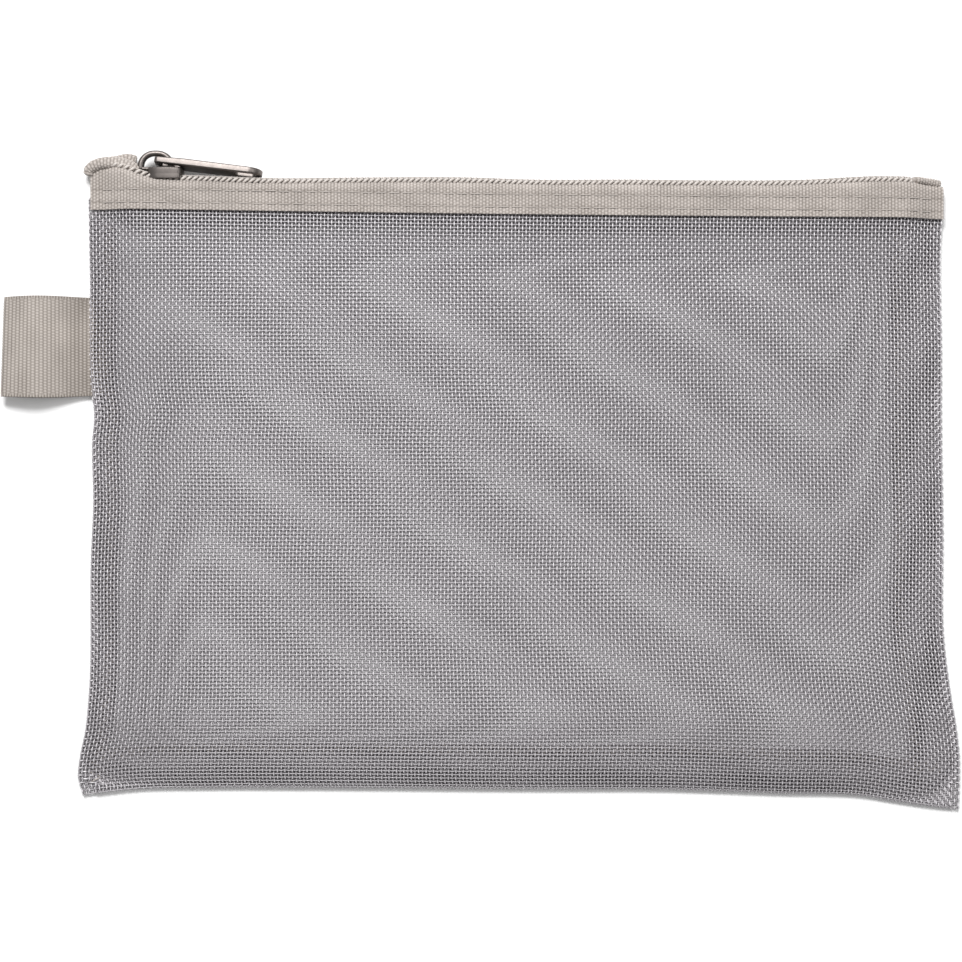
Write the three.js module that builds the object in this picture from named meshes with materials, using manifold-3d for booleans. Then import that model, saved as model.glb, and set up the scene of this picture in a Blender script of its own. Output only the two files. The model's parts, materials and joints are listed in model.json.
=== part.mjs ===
// A flat zip pouch of open mesh, lying on its back.
// Millimetres, +X along the zip, +Y towards the zip, +Z up, with the origin on the flat back at its middle.
import * as THREE from 'three';
import { mergeVertices } from 'three/addons/utils/BufferGeometryUtils.js';
import Module from 'manifold-3d';

const wasm = await Module();
wasm.setup();

// Driving dimensions.
const CLOTH = 0.6;            // thickness of the mesh cloth and of the zip tape
const GAP = 0.3;              // between pieces that lie on each other
const EDGE_HEIGHT = 2.6;      // top of the front panel along its seams
const BELLY_HEIGHT = 10.6;    // top of the front panel where the pouch is fullest
const RISE_SIDE = 30;         // how far in from a side seam the front panel reaches its full height
const RISE_BOTTOM = 34;       // the same from the bottom seam
const RISE_POWER = 2.2;
const ZIP_BLEND_START = 44;   // from here up the front panel leans towards the zip
const BACK_LIFT_START = 9;    // how far below the tape the back panel starts to lift, and where it ends
const BACK_LIFT_END = 1.2;

const TAPE_REST = 0.4;        // height of the back tape's outer face, clear of its stitches
const TAPE_DEPTH = 3.9;       // from the zip's middle plane to the outer face of either tape
const TAPE_END_DEPTH = 1.75;  // the same where the side seams pinch the tapes together
const TAPE_HALF_LENGTH = 106.8;
const TAPER_START = 95;       // where the tapes start to close towards their ends
const TAPE_TOP = 77.9;        // outer face of the tapes along the ridge
const TAPE_BEND = 1.5;        // outer radius of the bend over the ridge
const TAPE_LOWER_EDGE = 70.2; // lower edge of the visible band at the middle
const TAPE_LOWER_SLOPE = -0.011;
const TAPE_OVERLAP = 3.3;     // how far the panels run up behind the tapes
const STITCH_ROWS = { lower: 1.7, upper: 5 };  // how far the two topstitch rows are above the lower edge
const ZIP_MIDDLE = TAPE_REST + TAPE_DEPTH;

const CHAIN_SLOT = 0.5;       // from the middle plane to either coil, the way of the slider's post
const COIL_WIDTH = 2.1;
const COIL_FLOOR = TAPE_TOP + 0.1;
const COIL_TOP = 79.1;
const COIL_WALL = 0.2;
const COIL_CORD = [0.15, 0.45];  // half height and half width of the cord inside a coil
const COIL_START = -95.2;
const COIL_END = 98.6;

const SLIDER_X = [-92.1, -83.4];
const SLIDER_HALF_WIDTH = 3.6;
const SLIDER_PLATE = [TAPE_TOP + 0.45, 81];
const SLIDER_LOWER_PLATE = [75.2, 76.4];
const SLIDER_LOWER_INSET = 0.8;
const SLIDER_CHAMFER = 1.6;
const FLANGE = 0.7;
const POST_X = [SLIDER_X[0] + 1.8, SLIDER_X[0] + 4];
const POST_HALF_THICKNESS = 0.2;
const BAIL_CENTRE = -90.2;
const BAIL_RADIUS_X = 4.6;
const BAIL_FOOT = SLIDER_PLATE[1] + GAP;
const BAIL_BASE = 0.6;        // the bar that closes the bail along the slider's plate
const BAIL_TOP = 86.1;
const BAIL_BAND = 1.4;
const BAIL_HALF_WIDTH = 1.2;

const TAB_EYE = new THREE.Vector3(-89.8, 83.35, ZIP_MIDDLE);
const TAB_LENGTH = 26.4;
const TAB_HALF_WIDTH = 3.4;
const TAB_THICKNESS = 1.6;
const TAB_SLOPE = -THREE.MathUtils.degToRad(7);
const TAB_TILT = -THREE.MathUtils.degToRad(7);
const TAB_BAR = 0.55;         // half the eye's cross bar
const TAB_NECK = 0.6;         // how much narrower the tab is at its eye
const TAB_WINDOW = [TAB_BAR, 6];
const TAB_WINDOW_HALF_WIDTH = 1.6;
const TAB_SLOT = [19.4, 24.4];
const TAB_SLOT_HALF_WIDTH = 1.9;

const LOOP_LOW = 24.8;
const LOOP_HIGH = 49.5;
const LOOP_INNER = -107.9;
const LOOP_OUTER = -129;
const LOOP_THICKNESS = 0.8;
const LOOP_HEIGHT = 6.6;
const LOOP_ROOT_HEIGHT = 1.4; // middle of the seam, where the ribbon's two ends meet
const LOOP_ROOT_LENGTH = 2.2; // how far the two ends are joined

const ALLOWANCE_LOW = 0.9;    // the turned-in seam allowances lie just above the back panel
const SEAM_MARGIN = 1.2;
const LEFT_ALLOWANCE = 5.6;
const RIGHT_ALLOWANCE = 12;
const BOTTOM_ALLOWANCE = 10.5;
const SIDE_STRIP_Y = [-62.8, 60];
const BOTTOM_STRIP_X = [-106, 108];
const THREAD = 0.35;
const BINDING = 0.6;          // width of the thread that binds a raw edge

const LEFT_END_HEIGHTS = [80.6, 82.4];
const RIGHT_END_X = [COIL_END + GAP, 105.9];
const RIGHT_END_HALF_WIDTH = 1.2;

// The four edges of the panels, each a smooth curve through a few points.
const curve = (points) => new THREE.SplineCurve(points.map(([a, b]) => new THREE.Vector2(a, b)));
const LEFT_EDGE = curve([[-75.5, -108.6], [-69, -109.9], [-51, -107.3], [-16, -106.6], [13, -106.2],
  [45, -106.4], [73.5, -106.7]]);
const RIGHT_EDGE = curve([[-79.1, 111], [-65, 111.2], [-50, 109.2], [-36, 107.5], [-9, 107.3],
  [30, 106.9], [72.4, 106.8]]);
const BOTTOM_EDGE = curve([[-108.6, -75.5], [-92, -74], [-70, -73.6], [-20, -73.7], [30, -74.1],
  [68, -75], [90, -76.3], [111, -79.1]]);

// The second coordinate of an edge where its first one has the given value, found by halving.
function alongCurve(edge, value) {
  let low = 0;
  let high = 1;
  for (let step = 0; step < 30; step += 1) {
    const middle = (low + high) / 2;
    if (edge.getPoint(middle).x < value) low = middle;
    else high = middle;
  }
  return edge.getPoint(low).y;
}

const smooth = THREE.MathUtils.smoothstep;
const mix = THREE.MathUtils.lerp;
const taper = (x) => mix(TAPE_DEPTH, TAPE_END_DEPTH, smooth(Math.abs(x), TAPER_START, TAPE_HALF_LENGTH));
const middleOfZip = (x) => TAPE_REST + taper(x);
const tapeLower = (x) => TAPE_LOWER_EDGE + TAPE_LOWER_SLOPE * x;

// The first coordinate of an edge, a share of the way from its first point to its last.
const spread = (edge, share) => mix(edge.points[0].x, edge.points.at(-1).x, share);

// A place on the panels, from 0 to 1 across (left to right) and up (bottom seam to zip).
function panelPlace(across, up) {
  const bottom = alongCurve(BOTTOM_EDGE, spread(BOTTOM_EDGE, across));
  const top = tapeLower(mix(-TAPE_HALF_LENGTH, TAPE_HALF_LENGTH, across)) + TAPE_OVERLAP;
  const y = mix(bottom, top, up);
  const left = alongCurve(LEFT_EDGE, spread(LEFT_EDGE, up));
  const right = alongCurve(RIGHT_EDGE, spread(RIGHT_EDGE, up));
  return [mix(left, right, across), y, left, right, bottom];
}

// How far a puffed cloth has risen at a distance from its seam, from 0 to 1.
function rise(distance, reach) {
  const left = 1 - THREE.MathUtils.clamp(distance / reach, 0, 1);
  return 1 - left ** RISE_POWER;
}

function frontTop(across, up) {
  const [x, y, left, right, bottom] = panelPlace(across, up);
  const sides = rise(x - left, RISE_SIDE) * rise(right - x, RISE_SIDE);
  const crown = EDGE_HEIGHT + (BELLY_HEIGHT - EDGE_HEIGHT) * sides * rise(y - bottom, RISE_BOTTOM);
  const atZip = TAPE_REST + 2 * taper(x) - CLOTH - GAP;
  return mix(crown, atZip, smooth(y, ZIP_BLEND_START, tapeLower(x) - 1));
}

function backTop(across, up) {
  const [x, y] = panelPlace(across, up);
  const lift = TAPE_REST + CLOTH + GAP;
  return CLOTH + lift * smooth(y, tapeLower(x) - BACK_LIFT_START, tapeLower(x) - BACK_LIFT_END);
}

// A closed body from a list of rings with equally many points, with both ends closed.
// The rings stand square to the given axis, 0 for X or 1 for Y.
function loft(rings, axis = 0) {
  const points = [];
  const faces = [];
  const count = rings[0].length;
  const flat = rings[0].map((point) => new THREE.Vector2(point[(axis + 1) % 3], point[(axis + 2) % 3]));
  const backwards = THREE.ShapeUtils.area(flat) < 0;
  if (backwards) flat.reverse();
  for (const ring of rings) {
    for (const point of backwards ? [...ring].reverse() : ring) points.push(...point);
  }
  for (let ring = 0; ring + 1 < rings.length; ring += 1) {
    for (let i = 0; i < count; i += 1) {
      const next = (i + 1) % count;
      const a = ring * count + i;
      const b = ring * count + next;
      faces.push(a, b, a + count, b, b + count, a + count);
    }
  }
  const last = (rings.length - 1) * count;
  for (const [a, b, c] of THREE.ShapeUtils.triangulateShape(flat, [])) {
    faces.push(a, c, b, last + a, last + b, last + c);
  }
  const geometry = new THREE.BufferGeometry();
  geometry.setAttribute('position', new THREE.Float32BufferAttribute(points, 3));
  geometry.setIndex(faces);
  return facingOut(geometry);
}

// Turns the faces round if the body's volume comes out negative.
function facingOut(geometry) {
  const index = geometry.getIndex();
  const place = geometry.getAttribute('position');
  const corner = [new THREE.Vector3(), new THREE.Vector3(), new THREE.Vector3()];
  let volume = 0;
  for (let i = 0; i < index.count; i += 3) {
    corner.forEach((point, k) => point.fromBufferAttribute(place, index.getX(i + k)));
    volume += corner[0].dot(corner[1].clone().cross(corner[2]));
  }
  if (volume < 0) {
    for (let i = 0; i < index.count; i += 3) {
      const second = index.getX(i + 1);
      index.setX(i + 1, index.getX(i + 2));
      index.setX(i + 2, second);
    }
  }
  geometry.computeVertexNormals();
  return geometry;
}

// A closed sheet of cloth over a grid of places, lying under the given height.
function clothShell(columns, rows, heightAt) {
  const points = [];
  const faces = [];
  const layer = (columns + 1) * (rows + 1);
  for (const drop of [0, CLOTH]) {
    for (let row = 0; row <= rows; row += 1) {
      for (let column = 0; column <= columns; column += 1) {
        const across = 0.5 - 0.5 * Math.cos((Math.PI * column) / columns);
        const up = mix(row / rows, 0.5 - 0.5 * Math.cos((Math.PI * row) / rows), 0.7);
        const [x, y] = panelPlace(across, up);
        points.push(x, y, heightAt(across, up) - drop);
      }
    }
  }
  const at = (row, column) => row * (columns + 1) + column;
  for (let row = 0; row < rows; row += 1) {
    for (let column = 0; column < columns; column += 1) {
      const a = at(row, column);
      const b = at(row, column + 1);
      const c = at(row + 1, column + 1);
      const d = at(row + 1, column);
      faces.push(a, b, c, a, c, d, layer + a, layer + c, layer + b, layer + a, layer + d, layer + c);
    }
  }
  const rim = [];
  for (let column = 0; column < columns; column += 1) rim.push(at(0, column));
  for (let row = 0; row < rows; row += 1) rim.push(at(row, columns));
  for (let column = columns; column > 0; column -= 1) rim.push(at(rows, column));
  for (let row = rows; row > 0; row -= 1) rim.push(at(row, 0));
  rim.forEach((a, i) => {
    const b = rim[(i + 1) % rim.length];
    faces.push(a, layer + a, b, b, layer + a, layer + b);
  });
  const geometry = new THREE.BufferGeometry();
  geometry.setAttribute('position', new THREE.Float32BufferAttribute(points, 3));
  geometry.setIndex(faces);
  return facingOut(geometry);
}

// Half of the inverted U over the zip: side is 1 for the front tape and -1 for the back tape.
function tapeRing(x, side) {
  const depth = taper(x);
  const middle = middleOfZip(x);
  const bend = Math.min(TAPE_BEND, depth - CHAIN_SLOT - 0.1);
  const innerBend = Math.max(bend - CLOTH, 0.1);
  const outer = [[tapeLower(x), depth]];
  const inner = [[tapeLower(x), depth - bend + innerBend]];
  const steps = 4;
  for (let step = 0; step <= steps; step += 1) {
    const turn = (step / steps) * (Math.PI / 2);
    outer.push([TAPE_TOP - bend + bend * Math.sin(turn), depth - bend + bend * Math.cos(turn)]);
    inner.push([
      TAPE_TOP - bend + (bend - CLOTH) * Math.sin(turn),
      depth - bend + innerBend * Math.cos(turn),
    ]);
  }
  outer.push([TAPE_TOP, CHAIN_SLOT]);
  inner.push([TAPE_TOP - CLOTH, CHAIN_SLOT]);
  return [...outer, ...inner.reverse()].map(([y, z]) => [x, y, middle + side * z]);
}

const stations = (from, to, count) =>
  Array.from({ length: count + 1 }, (_, i) => mix(from, to, i / count));

const TAPE_STATIONS = [
  ...stations(-TAPE_HALF_LENGTH, -TAPER_START, 6),
  ...stations(TAPER_START, TAPE_HALF_LENGTH, 6),
];

// A square thread or strip along X, from a centre line and two half sizes.
function strip(xs, centreAt, halfY, halfZ) {
  return loft(xs.map((x) => {
    const [y, z] = centreAt(x);
    const corners = [[-1, -1], [1, -1], [1, 1], [-1, 1]];
    return corners.map(([up, out]) => [x, y + up * halfY, z + out * halfZ]);
  }));
}

function box(x, y, z) {
  const geometry = new THREE.BoxGeometry(x[1] - x[0], y[1] - y[0], z[1] - z[0]);
  geometry.translate((x[0] + x[1]) / 2, (y[0] + y[1]) / 2, (z[0] + z[1]) / 2);
  return geometry;
}

function toSolid(geometry) {
  const bare = geometry.index ? geometry.clone() : geometry;
  bare.deleteAttribute('normal');
  bare.deleteAttribute('uv');
  const merged = mergeVertices(bare, 1e-4);
  return new wasm.Manifold(new wasm.Mesh({
    numProp: 3,
    vertProperties: new Float32Array(merged.getAttribute('position').array),
    triVerts: new Uint32Array(merged.getIndex().array),
  }));
}

function fromSolid(solid) {
  const mesh = solid.getMesh();
  const geometry = new THREE.BufferGeometry();
  geometry.setAttribute('position', new THREE.BufferAttribute(new Float32Array(mesh.vertProperties), 3));
  geometry.setIndex(new THREE.BufferAttribute(new Uint32Array(mesh.triVerts), 1));
  geometry.computeVertexNormals();
  return geometry;
}

// From one side of the zip's middle plane to the other, or between two depths on one side of it.
const acrossZip = (half) => [ZIP_MIDDLE - half, ZIP_MIDDLE + half];
const besideZip = (side, from, to) => (side > 0
  ? [ZIP_MIDDLE + from, ZIP_MIDDLE + to]
  : [ZIP_MIDDLE - to, ZIP_MIDDLE - from]);

function coil(side) {
  const far = CHAIN_SLOT + COIL_WIDTH;
  const outside = box([COIL_START, COIL_END], [COIL_FLOOR, COIL_TOP], besideZip(side, CHAIN_SLOT, far));
  const bore = box([COIL_START - 1, COIL_END + 1], [COIL_FLOOR + COIL_WALL, COIL_TOP - COIL_WALL],
    besideZip(side, CHAIN_SLOT + COIL_WALL, far - COIL_WALL));
  return fromSolid(toSolid(outside).subtract(toSolid(bore)));
}

function coilCord(side) {
  const middle = ZIP_MIDDLE + side * (CHAIN_SLOT + COIL_WIDTH / 2);
  const height = (COIL_FLOOR + COIL_TOP) / 2;
  return strip([COIL_START + GAP, COIL_END - GAP], () => [height, middle], ...COIL_CORD);
}

// The thread that sews a coil to its tape runs just inside the fold.
function coilStitch(side) {
  const middle = ZIP_MIDDLE + side * (CHAIN_SLOT + 0.9);
  const height = TAPE_TOP - CLOTH - 0.1 - THREAD / 2;
  return strip([COIL_START, COIL_END], () => [height, middle], THREAD / 2, THREAD / 2);
}

function topstitch(side, aboveEdge) {
  const flat = THREAD / 3;
  const line = (x) => [tapeLower(x) + aboveEdge, middleOfZip(x) + side * (taper(x) + 0.08 + flat)];
  return strip(TAPE_STATIONS.slice(1, -1), line, THREAD / 2, flat);
}

// One plate of the slider, chamfered at its nose, between two heights along Y.
function sliderPlate(halfWidth, y) {
  const [nose, tail] = SLIDER_X;
  const outline = new THREE.Shape([
    new THREE.Vector2(nose, -halfWidth + SLIDER_CHAMFER),
    new THREE.Vector2(nose + SLIDER_CHAMFER, -halfWidth),
    new THREE.Vector2(tail, -halfWidth),
    new THREE.Vector2(tail, halfWidth),
    new THREE.Vector2(nose + SLIDER_CHAMFER, halfWidth),
    new THREE.Vector2(nose, halfWidth - SLIDER_CHAMFER),
  ]);
  const plate = new THREE.ExtrudeGeometry(outline, { depth: y[1] - y[0], bevelEnabled: false });
  plate.rotateX(Math.PI / 2);
  plate.translate(0, y[1], ZIP_MIDDLE);
  return toSolid(plate);
}

// The slider: an upper plate with flanges round the coils, a lower plate in the pouch, and a post at its nose.
function sliderBody() {
  const channelTop = COIL_TOP + GAP;
  const channel = box([SLIDER_X[0] - 1, SLIDER_X[1] + 1], [TAPE_TOP - 1, channelTop],
    acrossZip(SLIDER_HALF_WIDTH - FLANGE));
  const post = box(POST_X, [SLIDER_LOWER_PLATE[1] - 0.4, channelTop + GAP], acrossZip(POST_HALF_THICKNESS));
  const upper = sliderPlate(SLIDER_HALF_WIDTH, SLIDER_PLATE);
  const lower = sliderPlate(SLIDER_HALF_WIDTH - SLIDER_LOWER_INSET, SLIDER_LOWER_PLATE);
  return fromSolid(upper.subtract(toSolid(channel)).add(toSolid(post)).add(lower));
}

// The points of a half ellipse over a foot, from right to left.
function halfEllipse(radiusX, foot, top) {
  return stations(0, Math.PI, 16).map((turn) => new THREE.Vector2(
    BAIL_CENTRE + radiusX * Math.cos(turn),
    foot + (top - foot) * Math.sin(turn),
  ));
}

// The D-shaped loop on the slider that carries the pull tab.
function sliderBail() {
  const shape = new THREE.Shape(halfEllipse(BAIL_RADIUS_X, BAIL_FOOT, BAIL_TOP));
  const window = halfEllipse(BAIL_RADIUS_X - BAIL_BAND, BAIL_FOOT + BAIL_BASE, BAIL_TOP - BAIL_BAND);
  shape.holes.push(new THREE.Path(window));
  const arch = new THREE.ExtrudeGeometry(shape, { depth: 2 * BAIL_HALF_WIDTH, bevelEnabled: false });
  arch.translate(0, 0, ZIP_MIDDLE - BAIL_HALF_WIDTH);
  return arch;
}

const rectangle = ([from, to], half) => new THREE.Path([
  new THREE.Vector2(from, -half),
  new THREE.Vector2(from, half),
  new THREE.Vector2(to, half),
  new THREE.Vector2(to, -half),
]);

// The pull tab along its own X from the eye, its width along Z: a window for the bail and a slot by the tip.
function pullTab() {
  const end = TAB_LENGTH - TAB_HALF_WIDTH;
  const neck = TAB_HALF_WIDTH - TAB_NECK;
  const outline = new THREE.Shape();
  outline.moveTo(-TAB_BAR, -neck);
  outline.lineTo(TAB_WINDOW[1] + 1, -TAB_HALF_WIDTH);
  outline.lineTo(end, -TAB_HALF_WIDTH);
  outline.absarc(end, 0, TAB_HALF_WIDTH, -Math.PI / 2, Math.PI / 2, false);
  outline.lineTo(TAB_WINDOW[1] + 1, TAB_HALF_WIDTH);
  outline.lineTo(-TAB_BAR, neck);
  outline.closePath();
  outline.holes.push(rectangle(TAB_WINDOW, TAB_WINDOW_HALF_WIDTH), rectangle(TAB_SLOT, TAB_SLOT_HALF_WIDTH));
  const plate = new THREE.ExtrudeGeometry(outline, {
    depth: TAB_THICKNESS,
    bevelEnabled: false,
    curveSegments: 12,
  });
  plate.translate(0, 0, -TAB_THICKNESS / 2);
  plate.rotateX(-Math.PI / 2);
  return plate;
}

// The folded ribbon seen along the seam: a drop that is pinched at the seam and open at its fold.
function dropPoint(turn, inset) {
  const length = LOOP_INNER - LOOP_OUTER;
  const away = (1 - Math.cos(turn)) / 2;
  const swell = Math.sin(turn) * (0.35 + 0.65 * away);
  const half = LOOP_HEIGHT / 2 - inset;
  const middle = mix(LOOP_ROOT_HEIGHT, LOOP_HEIGHT / 2, smooth(away, 0, 0.45));
  const x = LOOP_INNER - inset * Math.cos(turn) - away * length;
  const z = middle + half * swell * (1.02 - 0.02 * away);
  return [x, z];
}

function hangLoop() {
  const steps = 36;
  const outer = [];
  const inner = [];
  for (let i = 0; i < steps; i += 1) {
    const turn = (2 * Math.PI * i) / steps;
    outer.push(new THREE.Vector2(...dropPoint(turn, 0)));
    inner.push(new THREE.Vector2(...dropPoint(turn, LOOP_THICKNESS)));
  }
  const shape = new THREE.Shape(outer);
  shape.holes.push(new THREE.Path(inner.filter((point) => point.x < LOOP_INNER - LOOP_ROOT_LENGTH)));
  const ring = new THREE.ExtrudeGeometry(shape, { depth: LOOP_HIGH - LOOP_LOW, bevelEnabled: false });
  ring.rotateX(Math.PI / 2);
  ring.translate(0, LOOP_HIGH, 0);
  return ring;
}

// A strip down one side, between two distances in from its seam: inward is 1 on the left and -1 on the right.
function sideStrip(edge, inward, from, to, low, high) {
  return loft(stations(...SIDE_STRIP_Y, 10).map((y) => {
    const seam = alongCurve(edge, y);
    const a = seam + inward * from;
    const b = seam + inward * to;
    return [[a, y, low], [b, y, low], [b, y, high], [a, y, high]];
  }), 1);
}

function bottomStrip(from, to, low, high) {
  return loft(stations(...BOTTOM_STRIP_X, 14).map((x) => {
    const seam = alongCurve(BOTTOM_EDGE, x);
    return [[x, seam + from, low], [x, seam + to, low], [x, seam + to, high], [x, seam + from, high]];
  }));
}

// A tape end that sticks up at the zip's left corner: a rounded bar that rises towards the corner.
function leftTapeEnd(side, from, to, reach) {
  const corners = 8;
  return loft(stations(from, to, 7).map((x, i, all) => {
    const along = i / (all.length - 1);
    const middleY = mix(...LEFT_END_HEIGHTS, smooth(along, 0, 0.6));
    const size = 0.55 + 0.45 * Math.sin(Math.PI * Math.min(1, 0.12 + along * 0.85));
    const middleZ = middleOfZip(x) + side * (0.25 + reach * size);
    return Array.from({ length: corners }, (_, k) => {
      const turn = (2 * Math.PI * (k + 0.5)) / corners;
      return [x, middleY + 2 * size * Math.cos(turn), middleZ + reach * size * Math.sin(turn)];
    });
  }));
}

function rightTapeEnd() {
  const low = TAPE_TOP + GAP;
  const line = (x) => [(low + COIL_TOP) / 2, middleOfZip(x)];
  return strip(stations(...RIGHT_END_X, 5), line, (COIL_TOP - low) / 2, RIGHT_END_HALF_WIDTH);
}

const pouch = new THREE.Group();

function addPiece(name, geometry, colour, roughness, metalness = 0) {
  const material = new THREE.MeshStandardMaterial({ color: colour, roughness, metalness });
  const mesh = new THREE.Mesh(geometry, material);
  mesh.name = name;
  pouch.add(mesh);
  return mesh;
}

const MESH_GREY = 0xa3a1a3;
const TAPE_GREY = 0xbcb4ad;
const THREAD_GREY = 0xb4aca6;
const GUNMETAL = 0x7a706c;

addPiece('front_panel', clothShell(40, 26, frontTop), MESH_GREY, 0.7);
addPiece('back_panel', clothShell(26, 18, backTop), MESH_GREY, 0.7);

const allowanceHeights = [ALLOWANCE_LOW, ALLOWANCE_LOW + CLOTH];
const bindingLow = ALLOWANCE_LOW + CLOTH + 0.1;
const bindingHeights = [bindingLow, bindingLow + THREAD];
for (const [name, edge, inward, width] of [
  ['left', LEFT_EDGE, 1, LEFT_ALLOWANCE],
  ['right', RIGHT_EDGE, -1, RIGHT_ALLOWANCE],
]) {
  const allowance = sideStrip(edge, inward, SEAM_MARGIN, width, ...allowanceHeights);
  const binding = sideStrip(edge, inward, width - BINDING, width, ...bindingHeights);
  addPiece(`${name}_seam_allowance`, allowance, MESH_GREY, 0.7);
  addPiece(`${name}_seam_thread`, binding, THREAD_GREY, 0.6);
}
const bottomBinding = bottomStrip(BOTTOM_ALLOWANCE - BINDING, BOTTOM_ALLOWANCE, ...bindingHeights);
const bottomAllowance = bottomStrip(SEAM_MARGIN, BOTTOM_ALLOWANCE, ...allowanceHeights);
addPiece('bottom_seam_allowance', bottomAllowance, MESH_GREY, 0.7);
addPiece('bottom_seam_thread', bottomBinding, THREAD_GREY, 0.6);

for (const [name, side] of [['front', 1], ['back', -1]]) {
  addPiece(`${name}_zipper_tape`, loft(TAPE_STATIONS.map((x) => tapeRing(x, side))), TAPE_GREY, 0.75);
  addPiece(`${name}_coil`, coil(side), TAPE_GREY, 0.45);
  addPiece(`${name}_coil_cord`, coilCord(side), TAPE_GREY, 0.7);
  addPiece(`${name}_coil_stitch`, coilStitch(side), THREAD_GREY, 0.6);
  for (const [row, aboveEdge] of Object.entries(STITCH_ROWS)) {
    addPiece(`${name}_topstitch_${row}`, topstitch(side, aboveEdge), THREAD_GREY, 0.6);
  }
}
addPiece('front_left_tape_end', leftTapeEnd(1, -96, -108.4, 1.35), TAPE_GREY, 0.75);
addPiece('back_left_tape_end', leftTapeEnd(-1, -96.8, -107.6, 1.2), TAPE_GREY, 0.75);
addPiece('right_tape_end', rightTapeEnd(), TAPE_GREY, 0.75);

addPiece('slider_body', sliderBody(), GUNMETAL, 0.35, 0.9);
addPiece('slider_bail', sliderBail(), GUNMETAL, 0.35, 0.9);
const tab = addPiece('pull_tab', pullTab(), GUNMETAL, 0.35, 0.9);
tab.position.copy(TAB_EYE);
tab.rotation.set(TAB_TILT, 0, TAB_SLOPE);

addPiece('hang_loop', hangLoop(), TAPE_GREY, 0.75);

export default pouch;
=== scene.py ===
import json
import math

import bmesh
import bpy
import numpy as np
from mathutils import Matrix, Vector


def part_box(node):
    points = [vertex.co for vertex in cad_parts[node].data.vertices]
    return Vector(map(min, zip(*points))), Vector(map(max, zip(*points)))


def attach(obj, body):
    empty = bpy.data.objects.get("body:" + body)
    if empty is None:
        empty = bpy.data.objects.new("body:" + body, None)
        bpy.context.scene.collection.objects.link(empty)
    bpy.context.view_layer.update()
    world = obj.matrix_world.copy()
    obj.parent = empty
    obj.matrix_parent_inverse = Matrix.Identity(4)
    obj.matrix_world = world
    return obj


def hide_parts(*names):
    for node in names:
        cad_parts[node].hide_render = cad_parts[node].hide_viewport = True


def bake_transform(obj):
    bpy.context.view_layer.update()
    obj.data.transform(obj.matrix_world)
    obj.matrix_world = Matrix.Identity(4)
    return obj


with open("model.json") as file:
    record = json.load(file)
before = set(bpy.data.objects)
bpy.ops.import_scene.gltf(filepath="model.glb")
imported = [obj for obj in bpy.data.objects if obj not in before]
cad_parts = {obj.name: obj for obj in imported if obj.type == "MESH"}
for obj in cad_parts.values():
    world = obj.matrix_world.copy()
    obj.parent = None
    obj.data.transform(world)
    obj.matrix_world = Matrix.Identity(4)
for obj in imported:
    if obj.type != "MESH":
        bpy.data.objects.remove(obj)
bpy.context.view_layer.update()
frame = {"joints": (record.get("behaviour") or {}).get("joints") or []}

# The looks of a flat zip pouch of open mesh that lies on its back.
# +X runs along the zip, +Y towards the zip and +Z up. Places are in metres and come from the frame's boxes.
# Lengths written in millimetres are turned into metres by MM.
MM = 0.001


# ---------------------------------------------------------------- small tools

def smooth(value, start, end):
    t = np.clip((np.asarray(value, float) - start) / (end - start), 0, 1)
    return t * t * (3 - 2 * t)


def mix(a, b, t):
    return a + (b - a) * t


def unit(vectors):
    length = np.linalg.norm(vectors, axis=-1, keepdims=True)
    return vectors / np.maximum(length, 1e-12)


def through(points):
    """A smooth function through a few (place, value) points, with Catmull-Rom slopes."""
    at = np.array([p[0] for p in points], float)
    value = np.array([p[1] for p in points], float)
    slope = np.gradient(value, at)

    def read(x):
        x = np.clip(np.asarray(x, float), at[0], at[-1])
        i = np.clip(np.searchsorted(at, x) - 1, 0, len(at) - 2)
        step = at[i + 1] - at[i]
        t = (x - at[i]) / step
        low = (2 * t**3 - 3 * t**2 + 1) * value[i] + (t**3 - 2 * t**2 + t) * step * slope[i]
        high = (3 * t**2 - 2 * t**3) * value[i + 1] + (t**3 - t**2) * step * slope[i + 1]
        return low + high

    return read


def wave(x, y, seed, size):
    """Slow, even noise from -1 to 1 over a plane, the same on every run."""
    rng = np.random.default_rng(seed)
    total = 0.0
    for _ in range(6):
        turn = rng.uniform(0, math.tau)
        length = size * rng.uniform(0.7, 1.6)
        ahead = x * math.cos(turn) + y * math.sin(turn)
        total = total + np.sin(ahead * math.tau / length + rng.uniform(0, math.tau))
    return total / 6


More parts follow.
